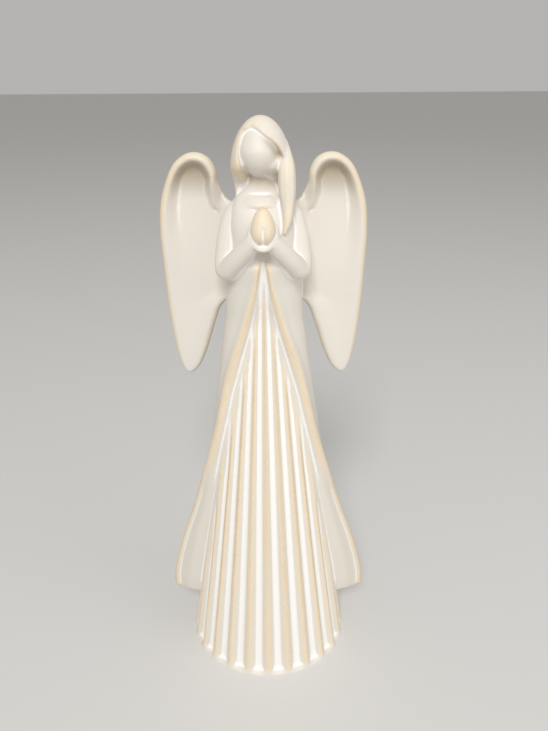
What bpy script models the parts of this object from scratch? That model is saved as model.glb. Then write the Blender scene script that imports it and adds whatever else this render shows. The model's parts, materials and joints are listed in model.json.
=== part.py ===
"""A praying angel figurine, slip-cast in one piece and glazed.

The figure faces -Y and stands on z = 0 with its own axis on x = y = 0.
Its proportions are shares of its height, and HEIGHT is the size that sets them all.
Each form below is a closed body. They are run together into one cast body at the end.
"""

import math

import bmesh
import bpy
import numpy as np

HEIGHT = 0.300
TRIANGLES = 9600

# Proportions, in shares of the height.
SKIRT_HALF_WIDTH = 0.157
SKIRT_TAPER = 0.1476
SKIRT_ROUNDNESS = 0.80
WAIST = 0.72
RIBS = 24
RIB_DEPTH = 0.0105
FOOT_RIM = 0.012
BELOW_FLOOR = 0.02

MANTLE_THICKNESS = 0.0095
MANTLE_HEM = 0.105
HEM_CORNER = 0.018
HEM_ROLL = 0.0052
EDGE_FOOT = 0.38
INSIDE_SHARE = 0.08
LINING_SHARE = 0.36
MANTLE_TOP = 0.835
MANTLE_FOLDS = 11
FOLD_DEPTH = 0.0022

UNDER_MANTLE = 0.014
RIB_FADE = 0.14
FRONT_FILL = 0.006
CHEST_SQUARENESS = 0.09
NECK_TOP = 0.945
NECK_SHIFT = -0.0026

HOOD_TOP = 0.9995
HOOD_MIDDLE = 0.925
HOOD_FOOT = 0.865
HOOD_HALF_WIDTH = 0.0436
HOOD_HALF_DEPTH = 0.0420
HOOD_SHIFT = -0.0020
WINDOW_FLOOR = 0.011
HANDS_SHIFT = 0.0008
HANDS_OUT = 0.0680
STRAND_DEPTH = 0.09

WING_FRONT = 0.010
WING_BACK = 0.036
WING_RIM = 0.0110
DISH_DEPTH = 0.0165

GRAIN = 0.0036
SMOOTHING = 6

# Stations: (height, value) pairs that a form is read from, smoothly, between its ends.
TORSO_HALF_WIDTH = ((WAIST, 0.0507), (0.77, 0.0490), (0.82, 0.0500), (0.855, 0.0490), (0.880, 0.0432),
                    (0.892, 0.0368), (0.900, 0.0292), (0.9093, 0.0206), (0.917, 0.0160), (NECK_TOP, 0.0155))
TORSO_HALF_DEPTH = ((WAIST, 0.0406), (0.77, 0.0425), (0.82, 0.0485), (0.850, 0.0480), (0.871, 0.0400),
                    (0.8856, 0.0305), (0.8975, 0.0180), (0.906, 0.0157), (NECK_TOP, 0.0155))
EDGE_ANGLE = ((0.105, 91.0), (0.20, 91.5), (0.28, 90.0), (0.335, 87.0), (0.38, 83.0), (0.43, 76.0),
              (0.48, 67.5), (0.535, 59.0), (0.61, 51.0), (0.65, 43.0), (0.694, 31.5), (0.74, 19.5),
              (0.78, 9.0), (0.81, 4.5))
CREASE_ANGLE = ((0.105, 84.0), (0.20, 77.0), (0.27, 72.5), (0.35, 67.0), (0.42, 61.5), (0.476, 56.5),
                (0.58, 43.5), (0.643, 31.5), (0.70, 19.0), (0.74, 10.0), (0.81, 2.0))
EDGE_LIFT = ((0.105, 0.0510), (0.152, 0.0545), (0.234, 0.0465), (0.336, 0.0290), (0.43, 0.0195),
             (0.50, 0.0165), (0.60, 0.0150), (0.81, 0.0145))
HANDS_HALF_WIDTH = ((0.0, 0.0), (0.04, 0.0080), (0.18, 0.0148), (0.40, 0.0172), (0.68, 0.0142),
                    (0.87, 0.0092), (0.96, 0.0052), (1.0, 0.0))
WINDOW_LEFT = ((0.905, -0.0205), (0.919, -0.0218), (0.925, -0.0248), (0.935, -0.0286), (0.9495, -0.0312),
               (0.9637, -0.0297), (0.9795, -0.0242), (0.9885, -0.0149), (0.993, -0.0135))
WINDOW_RIGHT = ((0.890, 0.0258), (0.905, 0.0230), (0.935, 0.0227), (0.9503, 0.0235), (0.9606, 0.0196),
                (0.9682, 0.0126), (0.9746, 0.0029), (0.9828, -0.0069), (0.9874, -0.0122), (0.993, -0.0131))

# Outline of the wing on +X, as (x, z), and the line along its middle, as stations (z, x).
WING_OUTLINE = ((0.096, 0.9505), (0.0785, 0.9440), (0.0680, 0.9280), (0.0655, 0.9080), (0.0540, 0.8860),
                (0.035, 0.870), (0.025, 0.820), (0.030, 0.760), (0.0660, 0.7240), (0.0800, 0.6920),
                (0.0980, 0.6380), (0.1130, 0.6080), (0.1300, 0.5960), (0.1420, 0.6130), (0.1500, 0.6500),
                (0.1555, 0.7100), (0.1580, 0.7900), (0.1580, 0.8400), (0.1520, 0.8850), (0.1340, 0.9280),
                (0.1150, 0.9460))
WING_SPINE = ((0.630, 0.129), (0.690, 0.120), (0.780, 0.110), (0.850, 0.108), (0.905, 0.112))


def ease(value):
    """A smooth step from 0 to 1."""
    value = np.clip(value, 0.0, 1.0)
    return value * value * (3.0 - 2.0 * value)


def between(value, start, end):
    """How far value has come from start to end, eased."""
    return ease((value - start) / (end - start))


def read(stations, at):
    """A smooth reading of a list of (place, value) stations."""
    places, values = np.array(stations).T
    last = len(places) - 1
    at = np.clip(at, places[0], places[-1])
    index = np.clip(np.searchsorted(places, at, side="right") - 1, 0, last - 1)
    before = np.maximum(index - 1, 0)
    after = np.minimum(index + 2, last)
    x0, x1, y0, y1 = places[index], places[index + 1], values[index], values[index + 1]
    span = x1 - x0
    slope0 = (y1 - values[before]) / (x1 - places[before]) * span
    slope1 = (values[after] - y0) / (places[after] - x0) * span
    t = (at - x0) / span
    t2, t3 = t * t, t * t * t
    return ((2 * t3 - 3 * t2 + 1) * y0 + (t3 - 2 * t2 + t) * slope0
            + (3 * t2 - 2 * t3) * y1 + (t3 - t2) * slope1)


def spline(points, t, closed=False):
    """Points on the smooth curve through a list of points, with t from 0 to 1."""
    points = np.array(points)
    count = len(points)
    spans = count if closed else count - 1
    place = np.clip(t, 0.0, 1.0) * spans
    index = np.minimum(place.astype(int), spans - 1)
    u = (place - index)[:, None]

    def point(step):
        if closed:
            return points[(index + step) % count]
        return points[np.clip(index + step, 0, count - 1)]

    a, b, c, d = (point(step) for step in (-1, 0, 1, 2))
    bend = (2 * a - 5 * b + 4 * c - d) * u * u
    turn = (3 * b - a - 3 * c + d) * u * u * u
    return 0.5 * (2 * b + (c - a) * u + bend + turn)


def columns(*values):
    """Points from their x, y and z."""
    return np.stack(np.broadcast_arrays(*values), axis=1)


def unit(vectors):
    """The vectors at length 1."""
    return vectors / np.maximum(np.linalg.norm(vectors, axis=1), 1e-12)[:, None]


def formed(name, segments, rings, place):
    """A closed form: a sphere whose rings are drawn out to the points that place(turn, rise) gives.

    turn runs from 0 to 1 round the form, from the front (-Y) by way of +X, and rise from 0 to 1 up it.
    place answers in shares of the height.
    """
    form = bmesh.new()
    bmesh.ops.create_uvsphere(form, u_segments=segments, v_segments=rings, radius=1.0)
    x, y, z = np.array([vertex.co for vertex in form.verts]).T
    rise = np.arccos(np.clip(-z, -1.0, 1.0)) / math.pi
    turn = np.where(np.hypot(x, y) > 1e-5, (np.arctan2(x, -y) / math.tau) % 1.0, 0.0)
    for vertex, point in zip(form.verts, place(turn, rise) * HEIGHT):
        vertex.co = point
    bmesh.ops.recalc_face_normals(form, faces=form.faces)
    mesh = bpy.data.meshes.new(name)
    form.to_mesh(mesh)
    form.free()
    body = bpy.data.objects.new(name, mesh)
    bpy.context.scene.collection.objects.link(body)
    return body


def tube(name, path, girths, segments=24, rings=60, side=(1.0, 0.0, 0.0), lean=0.0, strands=0):
    """A rounded limb along a smooth path.

    girths are its (half-width along side, half-width across it) at each point of the path.
    lean turns its section about the path, and strands gives it that many soft ridges, as in combed hair.
    """
    ends = 0.10
    turned = math.radians(lean)

    def place(turn, rise):
        t = (rise - ends) / (1.0 - 2.0 * ends)
        along = np.clip(t, 0.0, 1.0)
        way = unit(spline(path, along + 0.02) - spline(path, along - 0.02))
        size = spline(girths, along)
        beyond = np.maximum(np.maximum(-t, t - 1.0), 0.0) * (1.0 - 2.0 * ends) / ends
        shrink = np.sqrt(np.maximum(1.0 - beyond * beyond, 0.0))
        reach = size.min(axis=1) * beyond * np.sign(t - 0.5)
        centre = spline(path, along) + way * reach[:, None]
        across = unit(np.cross(way, side))
        beside = unit(np.cross(across, way))
        across, beside = (across * math.cos(turned) - beside * math.sin(turned),
                          beside * math.cos(turned) + across * math.sin(turned))
        angle = turn * math.tau
        if strands:
            shrink = shrink * (1.0 - STRAND_DEPTH * (1.0 - abs(np.cos(angle * strands / 2.0))))
        wide = size[:, 0] * shrink * np.sin(angle)
        deep = size[:, 1] * shrink * np.cos(angle)
        return centre + beside * wide[:, None] - across * deep[:, None]

    return formed(name, segments, rings, place)


def skirt_radii(z):
    """Half-width and half-depth of the plain skirt, without its ribs."""
    half_width = SKIRT_HALF_WIDTH - SKIRT_TAPER * z
    half_depth = half_width * SKIRT_ROUNDNESS
    blend = between(z, WAIST - 0.04, WAIST + 0.03)
    half_width = half_width + (read(TORSO_HALF_WIDTH, z) - half_width) * blend
    half_depth = half_depth + (read(TORSO_HALF_DEPTH, z) - half_depth) * blend
    return half_width, half_depth


def round_the_body(z, angle, lift):
    """Points that stand lift proud of the skirt at a height, at an angle from the front."""
    half_width, half_depth = skirt_radii(z)
    squarer = 1.0 + CHEST_SQUARENESS * np.sin(2.0 * angle) ** 2 * between(z, 0.77, 0.82)
    x = squarer * (half_width + lift) * np.sin(angle)
    y = -squarer * (half_depth + lift) * np.cos(angle)
    return x, y, z


def rib(angle):
    """The section of the pleats: 1 on a crest and 0 in a groove, with a crest at the front."""
    crest = abs(np.cos(angle * RIBS / 2.0))
    wave = 0.5 + 0.5 * np.cos(angle * RIBS)
    return 0.45 * crest + 0.55 * wave


def levels(rise, low, high, cap):
    """The height of each ring between low and high, and how far the end rings close in."""
    z = np.clip(low + (high - low) * (rise - cap) / (1.0 - 2.0 * cap), low, high)
    return z, np.minimum(np.minimum(rise / cap, (1.0 - rise) / cap), 1.0)


def front_fill(z):
    """How far the gown stands out over the waist."""
    return FRONT_FILL * between(z, 0.66, 0.78) * (1.0 - between(z, 0.80, 0.84))


def body_place(turn, rise):
    """The pleated skirt, the trunk and the neck."""
    z, closing = levels(rise, -BELOW_FLOOR, NECK_TOP, 0.03)
    angle = turn * math.tau
    away = np.minimum(angle, math.tau - angle)
    under_hem = between(z, MANTLE_HEM + 0.01, MANTLE_HEM + 0.03)
    depth = RIB_DEPTH * between(z, 0.0, FOOT_RIM) * (1.0 - 0.45 * between(z, 0.10, 0.75))
    depth = depth * (1.0 - between(z, WAIST + 0.03, WAIST + 0.08))
    crease = np.radians(read(CREASE_ANGLE, z))
    depth = depth * (1.0 - under_hem * (1.0 - between(crease - away, -0.01, RIB_FADE)))
    edge = np.radians(read(EDGE_ANGLE, z))
    covered = between(away, edge - 0.1, edge + 0.15) * under_hem
    covered = covered * (1.0 - between(z, WAIST - 0.06, WAIST))
    x, y, z = round_the_body(z, angle, front_fill(z) - depth * (1.0 - rib(angle)) - UNDER_MANTLE * covered)
    lean = NECK_SHIFT * between(z, 0.84, 0.90)
    return columns(x * closing + lean, y * closing, z)


def edge_way(z, angle):
    """How far an angle has come from the lining's crease (0) to the crest of the mantle's edge (1)."""
    edge = np.radians(read(EDGE_ANGLE, z))
    crease = np.radians(read(CREASE_ANGLE, z))
    return (angle - crease) / (edge - crease)


def edge_height(z):
    """How far the mantle's edge stands proud of the skirt, rounded off at the hem's corner."""
    low = np.minimum((z - MANTLE_HEM) / HEM_CORNER, 1.0)
    rounding = 0.74 + 0.26 * np.sqrt(np.maximum(1.0 - (1.0 - low) ** 2, 0.0))
    return MANTLE_THICKNESS + (read(EDGE_LIFT, z) - MANTLE_THICKNESS) * rounding


def mantle_lift(z, angle):
    """How far the mantle stands proud of the skirt: its lining, its rolled edge and its outer face."""
    edge_lift = edge_height(z)
    way = np.clip(edge_way(z, angle), 0.0, 1.0)
    wide = -0.004 + (edge_lift + 0.004) * way ** 1.15
    level = front_fill(z) - 0.001 + 0.003 * np.sin(np.pi * np.minimum(way / EDGE_FOOT, 1.0))
    roll = np.clip((way - EDGE_FOOT) / (1.0 - EDGE_FOOT), 0.0, 1.0)
    narrow = level + (edge_lift - level) * np.sqrt(1.0 - (1.0 - roll) ** 2)
    lining = wide + (narrow - wide) * between(z, 0.36, 0.50)
    edge = np.radians(read(EDGE_ANGLE, z))
    fall = math.radians(16.0) + math.radians(20.0) * between(z, 0.45, 0.15)
    folds = FOLD_DEPTH * np.cos(angle * MANTLE_FOLDS)
    folds = folds * between(angle, math.radians(120.0), math.radians(150.0)) * between(z, 0.75, 0.45)
    outside = edge_lift + (MANTLE_THICKNESS - edge_lift) * between(angle, edge, edge + fall) + folds
    inside = -0.004 - 0.030 * between(edge_way(z, angle), 0.0, -0.6)
    lift = np.where(way <= 0.0, inside, np.where(way < 1.0, lining, outside))
    return lift + (-0.006 - lift) * between(z, MANTLE_TOP - 0.035, MANTLE_TOP - 0.008)


def mantle_angle(turn, z):
    """The angle of a turn round the mantle, spread so that the form's lines follow its crease and its edge."""
    share = 2.0 * np.minimum(turn, 1.0 - turn)
    edge = np.radians(read(EDGE_ANGLE, z))
    crease = np.radians(read(CREASE_ANGLE, z))
    lining = crease + (edge - crease) * (share - INSIDE_SHARE) / (LINING_SHARE - INSIDE_SHARE)
    outside = edge + (math.pi - edge) * (share - LINING_SHARE) / (1.0 - LINING_SHARE)
    inside = crease * share / INSIDE_SHARE
    return np.where(share < INSIDE_SHARE, inside, np.where(share < LINING_SHARE, lining, outside))


def mantle_place(turn, rise):
    """The mantle that opens over the skirt in front, with its lining turned out to the hem's corners."""
    z, closing = levels(rise, MANTLE_HEM, MANTLE_TOP, 0.05)
    away = mantle_angle(turn, z)
    x, y, z = round_the_body(z, np.where(turn < 0.5, away, -away), mantle_lift(z, away))
    return columns(x * closing, y * closing, z)


def make_hem_edge(side):
    """The thick rounded edge of the mantle where it flares out over the foot."""
    heights = np.linspace(MANTLE_HEM + 0.012, 0.48, 24)
    angle = np.radians(read(EDGE_ANGLE, heights))
    x, y, z = round_the_body(heights, angle, edge_height(heights) - HEM_ROLL * 0.9)
    path = [tuple(point) for point in columns(side * x, y - 0.001, z)]
    girths = [(HEM_ROLL * full, HEM_ROLL * full) for full in between(heights, 0.48, 0.36) * 0.7 + 0.3]
    return tube("hem_edge", path, girths, 20, 100)


def make_arm(side):
    """An upper arm and forearm in one wide sleeve, bent up to the hands."""
    path = [(side * x, y, z) for x, y, z in (
        (0.034, 0.002, 0.884), (0.0425, -0.0060, 0.868), (0.0482, -0.0140, 0.842), (0.0525, -0.0230, 0.813),
        (0.0525, -0.034, 0.7965), (0.0425, -0.047, 0.8090), (0.0280, -0.0570, 0.8260),
        (0.0125, -0.0650, 0.8430))]
    girths = [(0.009, 0.010), (0.0125, 0.0150), (0.0138, 0.0180), (0.0147, 0.0180), (0.0155, 0.0172),
              (0.0145, 0.0150), (0.0140, 0.0140), (0.0135, 0.0135)]
    return tube("arm", path, girths, side=(0.0, -0.6, 0.8))


def hands_place(turn, rise):
    """Two hands pressed together, pointing up, parted by a groove between their heels."""
    z = 0.8393 + 0.0517 * rise
    width = read(HANDS_HALF_WIDTH, rise)
    angle = turn * math.tau
    x, y = width * np.sin(angle), -1.08 * width * np.cos(angle)
    groove = 0.0050 * np.exp(-(x / 0.0024) ** 2) * between(rise, 0.72, 0.30)
    y = np.where(y < 0.0, y + np.minimum(groove, -y), y)
    return columns(x + HANDS_SHIFT, y - HANDS_OUT - 0.006 * (0.5 - rise), z)


def make_cuffs():
    """The edge of both cuffs, one line round the heels of the hands."""
    half = [(-0.0130, -0.0480, 0.8700), (-0.0176, -0.0570, 0.8640), (-0.0190, -0.0650, 0.8560),
            (-0.0168, -0.0718, 0.8475), (-0.0110, -0.0770, 0.8405), (-0.0040, -0.0795, 0.8365)]
    path = half + [(-x, y, z) for x, y, z in reversed(half)]
    path = [(x + HANDS_SHIFT, y, z) for x, y, z in path]
    girths = [(0.0015, 0.0015), (0.0026, 0.0026)] + [(0.0036, 0.0034)] * (len(path) - 4)
    girths = girths + [(0.0026, 0.0026), (0.0015, 0.0015)]
    return tube("cuffs", path, girths, 16, 96, side=(0.0, 1.0, 0.0))


def make_yoke():
    """The yoke of the gown, a flat band that lies on the shoulders round the foot of the neck."""
    path = [(NECK_SHIFT + 0.0265 * math.sin(t), -0.001 - 0.0270 * math.cos(t), 0.8930 - 0.0030 * math.cos(t))
            for t in (math.tau * k / 24.0 for k in range(25))]
    return tube("yoke", path, [(0.0108, 0.0036)] * len(path), 16, 96, side=(0.0, 0.0, 1.0), lean=-48.0)


def window_depth(x, z):
    """How far a place lies inside the hood's opening to the face and neck; below 0 in the hair."""
    left = (x - read(WINDOW_LEFT, z)) * 0.9
    right = (read(WINDOW_RIGHT, z) - x) * np.where(z > 0.952, 0.62, 0.9)
    return np.minimum(np.minimum(left, right), (0.9905 - z) * 0.5)


def hood_place(turn, rise):
    """The hood of long smooth hair, a dome over straight sides, open in front to the face."""
    climb = -np.cos(math.pi * rise)
    upper = climb > 0.0
    z = HOOD_MIDDLE + climb * np.where(upper, HOOD_TOP - HOOD_MIDDLE, HOOD_MIDDLE - HOOD_FOOT)
    size = np.sqrt(np.maximum(1.0 - np.where(upper, climb * climb, climb ** 6), 0.0))
    angle = turn * math.tau
    x = HOOD_SHIFT + 0.0060 * between(z, 0.94, 0.90) + HOOD_HALF_WIDTH * size * np.sin(angle)
    y = -HOOD_HALF_DEPTH * size * np.cos(angle)
    over_lock = 0.75 * between(z, 0.935, 0.885)
    over_shoulder = between(z, 0.938, 0.904)
    front = y * (1.0 - over_lock + (over_lock - over_shoulder) * between(x, 0.005, -0.010))
    floor = WINDOW_FLOOR * between(z, 0.998, 0.970) + 0.012 * between(z, 0.94, 0.92)
    floor = floor + 0.004 * np.exp(-((x - 0.021) / 0.007) ** 2 - ((z - 0.955) / 0.010) ** 2)
    cut = between(window_depth(x, z), -0.0036, 0.0030) * np.minimum(floor, np.maximum(-front - 0.004, 0.0))
    back = y * (1.0 + 0.10 * between(z, 0.96, 0.90))
    return columns(x, np.where(y < 0.0, front + cut, back), z)


def face_place(turn, rise):
    """The smooth oval face, without features, set back in the hair."""
    angle, climb = turn * math.tau, (rise - 0.5) * math.pi
    around = np.cos(climb)
    tall = np.where(climb > 0.0, 0.0360, 0.0345)
    z = 0.9550 + tall * np.sin(climb)
    lean = 0.30 * np.maximum(z - 0.955, 0.0)
    return columns(-0.0046 + 0.0270 * around * np.sin(angle), lean - 0.010 - 0.0280 * around * np.cos(angle), z)


def make_hair():
    """The lock over one shoulder, and the fall of hair down the back."""
    lock = [(0.0200, -0.0090, 0.9720), (0.0262, -0.0160, 0.9560), (0.0312, -0.0215, 0.9400),
            (0.0338, -0.0250, 0.9240), (0.0343, -0.0270, 0.9050), (0.0350, -0.0310, 0.8850),
            (0.0343, -0.0385, 0.8670), (0.0305, -0.0450, 0.8510)]
    lock_girths = [(0.0070, 0.0070), (0.0092, 0.0098), (0.0108, 0.0112), (0.0120, 0.0125), (0.0122, 0.0130),
                   (0.0092, 0.0120), (0.0068, 0.0090), (0.0030, 0.0040)]
    back = [(0.000, 0.012, 0.960), (0.001, 0.024, 0.925), (0.002, 0.036, 0.88), (0.001, 0.047, 0.82),
            (0.000, 0.049, 0.755)]
    back_girths = [(0.034, 0.024), (0.040, 0.024), (0.039, 0.021), (0.030, 0.016), (0.010, 0.008)]
    return [tube("lock", lock, lock_girths, 48, 90, strands=8),
            tube("back_hair", back, back_girths, 96, 60, strands=22)]


def across_wing(turn, rise):
    """The place in the wing's plane of each point of the form, and its distance from the outline."""
    x, z = spline(WING_OUTLINE, turn, closed=True).T
    spine_z = np.array(WING_SPINE)[:, 0]
    foot_of_outline, height_of_outline = 0.60, 0.345
    level = spine_z[0] + (z - foot_of_outline) * (spine_z[-1] - spine_z[0]) / height_of_outline
    level = np.clip(level, spine_z[0], spine_z[-1])
    inner_x = read(WING_SPINE, level)
    cut = 1.0 - np.sin(math.pi * rise)
    return x + (inner_x - x) * cut, z + (level - z) * cut, np.hypot(inner_x - x, level - z) * cut


def wing_place(turn, rise):
    """The wing on +X: a soft rim round a hollow face, full towards the tip, and a full back."""
    px, pz, depth_in = across_wing(turn, rise)
    middle = (WING_FRONT + WING_BACK) / 2.0 + 0.10 * np.maximum(px - 0.06, 0.0)
    half = (WING_BACK - WING_FRONT) / 2.0
    rim = 0.008 + (WING_RIM - 0.008) * between(pz, 0.55, 0.70)
    edge = np.sqrt(np.maximum(1.0 - (1.0 - np.minimum(depth_in / rim, 1.0)) ** 2, 0.0))
    dish = DISH_DEPTH * (0.35 * between(pz, 0.62, 0.74) + 0.65 * between(pz, 0.76, 0.90))
    hollow = between(depth_in, rim * 0.6, rim * (2.4 + 1.2 * between(pz, 0.92, 0.80)))
    shoulder = between(px, 0.084, 0.060) * between(pz, 0.925, 0.880) * between(pz, 0.730, 0.800)
    front = middle - half * edge + dish * np.maximum(hollow, shoulder)
    back = middle + half * edge - 0.004 * between(depth_in, rim, rim * 4.0)
    return columns(px, np.where(rise < 0.5, front, back), pz)


def mirrored_wing_place(turn, rise):
    """The wing on -X."""
    return wing_place(turn, rise) * (-1.0, 1.0, 1.0)


def joined(name, forms):
    """One object that holds the meshes of all the forms, which are then removed."""
    whole = bmesh.new()
    for form in forms:
        whole.from_mesh(form.data)
        bpy.data.objects.remove(form)
    mesh = bpy.data.meshes.new(name)
    whole.to_mesh(mesh)
    whole.free()
    return bpy.data.objects.new(name, mesh)


def make_below_the_foot():
    """The block that trims the foot flat at the floor."""
    block = bmesh.new()
    bmesh.ops.create_cube(block, size=1.0)
    across = 4.0 * SKIRT_HALF_WIDTH * HEIGHT
    deep = 4.0 * BELOW_FLOOR * HEIGHT
    for vertex in block.verts:
        vertex.co = (vertex.co.x * across, vertex.co.y * across, (vertex.co.z - 0.5) * deep)
    mesh = bpy.data.meshes.new("below_the_foot")
    block.to_mesh(mesh)
    block.free()
    return bpy.data.objects.new("below_the_foot", mesh)


def glaze():
    """A satin glaze, warm white."""
    material = bpy.data.materials.new("cream_glaze")
    material.use_nodes = True
    shader = material.node_tree.nodes["Principled BSDF"]
    shader.inputs["Base Color"].default_value = (0.72, 0.67, 0.57, 1.0)
    shader.inputs["Roughness"].default_value = 0.35
    shader.inputs["Metallic"].default_value = 0.0
    return material


def count_triangles(body):
    """The triangles of a body as its modifiers leave it."""
    shown = body.evaluated_get(bpy.context.evaluated_depsgraph_get()).to_mesh()
    shown.calc_loop_triangles()
    return len(shown.loop_triangles)


def cast(forms, below):
    """The figure: all forms run into one body, its seams softened, and its foot cut flat."""
    figure = bpy.data.objects.new("angel_figurine", forms.data.copy())
    figure.data.name = "angel_figurine"
    figure.data.materials.append(glaze())
    bpy.data.collections["angel figurine"].objects.link(figure)
    run_together = figure.modifiers.new("run_together", "REMESH")
    run_together.mode = "VOXEL"
    run_together.voxel_size = GRAIN * HEIGHT
    soften = figure.modifiers.new("soften", "SMOOTH")
    soften.factor = 0.5
    soften.iterations = SMOOTHING
    ratio = TRIANGLES / count_triangles(figure)
    facets = figure.modifiers.new("facets", "DECIMATE")
    facets.ratio = ratio
    facets.use_collapse_triangulate = True
    foot = figure.modifiers.new("foot", "BOOLEAN")
    foot.operation = "DIFFERENCE"
    foot.solver = "EXACT"
    foot.object = below
    return figure


def main():
    for thing in list(bpy.data.objects):
        bpy.data.objects.remove(thing)
    for name in ("angel figurine", "guides"):
        bpy.context.scene.collection.children.link(bpy.data.collections.new(name))
    forms = [formed("body", 240, 150, body_place), formed("mantle", 300, 130, mantle_place),
             make_hem_edge(-1), make_hem_edge(1), make_arm(-1), make_arm(1), make_cuffs(), make_yoke(),
             formed("hands", 64, 48, hands_place), formed("hood", 220, 150, hood_place),
             formed("face", 48, 40, face_place), formed("right_wing", 200, 80, wing_place),
             formed("left_wing", 200, 80, mirrored_wing_place)] + make_hair()
    raw = joined("raw_forms", forms)
    below = make_below_the_foot()
    for guide in (raw, below):
        bpy.data.collections["guides"].objects.link(guide)
        guide.hide_render = True
        guide.display_type = "WIRE"
    cast(raw, below)


main()
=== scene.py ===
"""A praying angel figurine with a satin glaze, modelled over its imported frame, on a pale floor.

The figure faces -Y and stands on z = 0. Its proportions are shares of its height.
Each form is a grid rolled into a closed body, and all of them are cast into one piece.
"""

import json
import math

import bpy
import numpy as np
from mathutils import Matrix, Vector

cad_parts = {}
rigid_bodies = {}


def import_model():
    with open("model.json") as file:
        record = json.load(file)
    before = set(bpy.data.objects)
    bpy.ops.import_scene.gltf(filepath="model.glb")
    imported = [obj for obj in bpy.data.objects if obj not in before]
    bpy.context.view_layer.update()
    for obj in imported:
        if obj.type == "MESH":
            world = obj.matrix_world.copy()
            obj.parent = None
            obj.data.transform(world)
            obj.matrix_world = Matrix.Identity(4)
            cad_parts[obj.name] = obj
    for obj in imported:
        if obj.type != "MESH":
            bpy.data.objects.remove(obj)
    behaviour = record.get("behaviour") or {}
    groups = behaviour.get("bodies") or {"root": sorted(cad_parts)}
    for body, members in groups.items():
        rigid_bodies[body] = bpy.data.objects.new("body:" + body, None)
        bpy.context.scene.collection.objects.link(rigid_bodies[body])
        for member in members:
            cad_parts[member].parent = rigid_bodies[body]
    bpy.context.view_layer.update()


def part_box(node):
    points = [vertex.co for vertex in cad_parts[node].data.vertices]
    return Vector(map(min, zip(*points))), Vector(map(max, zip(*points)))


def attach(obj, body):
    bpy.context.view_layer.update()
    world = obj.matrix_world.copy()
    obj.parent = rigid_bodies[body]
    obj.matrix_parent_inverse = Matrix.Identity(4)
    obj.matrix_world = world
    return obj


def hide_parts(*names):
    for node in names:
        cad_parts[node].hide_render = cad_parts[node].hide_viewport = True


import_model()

bl_info = {
    "name": "Praying angel figurine",
    "version": (1, 0, 0),
    "blender": (4, 5, 0),
    "location": "View3D > Sidebar > Angel",
    "description": "Models and glazes a praying angel figurine cast in one piece",
    "category": "Object",
}

NODE = "angel_figurine"
PIECE = "glazed_angel_figurine"
FORMS = "forms of the figure"
MERGE = 0.000001
CAD_HEIGHT = round(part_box(NODE)[1][2], 3)

# Proportions, in shares of the height.
SKIRT_HALF_WIDTH = 0.157
SKIRT_TAPER = 0.1476
SKIRT_ROUNDNESS = 0.80
WAIST = 0.72
RIBS = 24
RIB_DEPTH = 0.0105
RIB_SHARPNESS = 1.25
FOOT_RIM = 0.012
BELOW_FLOOR = 0.02
BODY_CAP = 0.03

MANTLE_THICKNESS = 0.0095
MANTLE_HEM = 0.105
HEM_CORNER = 0.018
HEM_ROLL = 0.0052
EDGE_FOOT = 0.38
INSIDE_SHARE = 0.08
LINING_SHARE = 0.36
MANTLE_TOP = 0.835
MANTLE_CAP = 0.05
MANTLE_FOLDS = 11
FOLD_DEPTH = 0.0022

UNDER_MANTLE = 0.014
RIB_FADE = 0.14
FRONT_FILL = 0.006
CHEST_SQUARENESS = 0.09
NECK_TOP = 0.945
NECK_SHIFT = -0.0026

HOOD_TOP = 0.9995
HOOD_MIDDLE = 0.925
HOOD_FOOT = 0.865
HOOD_HALF_WIDTH = 0.0436
HOOD_HALF_DEPTH = 0.0420
HOOD_SHIFT = -0.0020
WINDOW_FLOOR = 0.011
FACE_MIDDLE = (-0.0046, -0.010, 0.9550)
FACE_HALF_WIDTH = 0.0270
FACE_HALF_DEPTH = 0.0280
FACE_ABOVE = 0.0360
FACE_BELOW = 0.0322
FACE_LEAN = 0.30
HANDS_SHIFT = 0.0008
HANDS_OUT = 0.0680
HANDS_FOOT = 0.8393
HANDS_HEIGHT = 0.0517
STRAND_DEPTH = 0.09

WING_FRONT = 0.010
WING_BACK = 0.036
WING_RIM = 0.0110
DISH_DEPTH = 0.0165

# Stations: (height, value) pairs that a form is read from, smoothly, between its ends.
TORSO_HALF_WIDTH = ((WAIST, 0.0507), (0.77, 0.0490), (0.82, 0.0500), (0.855, 0.0490), (0.880, 0.0432),
                    (0.892, 0.0368), (0.900, 0.0292), (0.9093, 0.0206), (0.917, 0.0160), (NECK_TOP, 0.0155))
TORSO_HALF_DEPTH = ((WAIST, 0.0406), (0.77, 0.0425), (0.82, 0.0485), (0.850, 0.0480), (0.871, 0.0400),
                    (0.8856, 0.0305), (0.8975, 0.0180), (0.906, 0.0157), (NECK_TOP, 0.0155))
EDGE_ANGLE = ((0.105, 91.0), (0.20, 91.5), (0.28, 90.0), (0.335, 87.0), (0.38, 83.0), (0.43, 76.0),
              (0.48, 67.5), (0.535, 59.0), (0.61, 51.0), (0.65, 43.0), (0.694, 31.5), (0.74, 19.5),
              (0.78, 9.0), (0.81, 4.5))
CREASE_ANGLE = ((0.105, 84.0), (0.20, 77.0), (0.27, 72.5), (0.35, 67.0), (0.42, 61.5), (0.476, 56.5),
                (0.58, 43.5), (0.643, 31.5), (0.70, 19.0), (0.74, 10.0), (0.81, 2.0))
EDGE_LIFT = ((0.105, 0.0510), (0.152, 0.0545), (0.234, 0.0465), (0.336, 0.0290), (0.43, 0.0195),
             (0.50, 0.0165), (0.60, 0.0150), (0.81, 0.0145))
HANDS_HALF_WIDTH = ((0.0, 0.0), (0.04, 0.0080), (0.18, 0.0148), (0.40, 0.0172), (0.68, 0.0142),
                    (0.87, 0.0092), (0.96, 0.0052), (1.0, 0.0))
WINDOW_LEFT = ((0.905, -0.0205), (0.919, -0.0218), (0.925, -0.0248), (0.935, -0.0286), (0.9495, -0.0312),
               (0.9637, -0.0297), (0.9795, -0.0242), (0.9885, -0.0149), (0.993, -0.0135))
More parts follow.
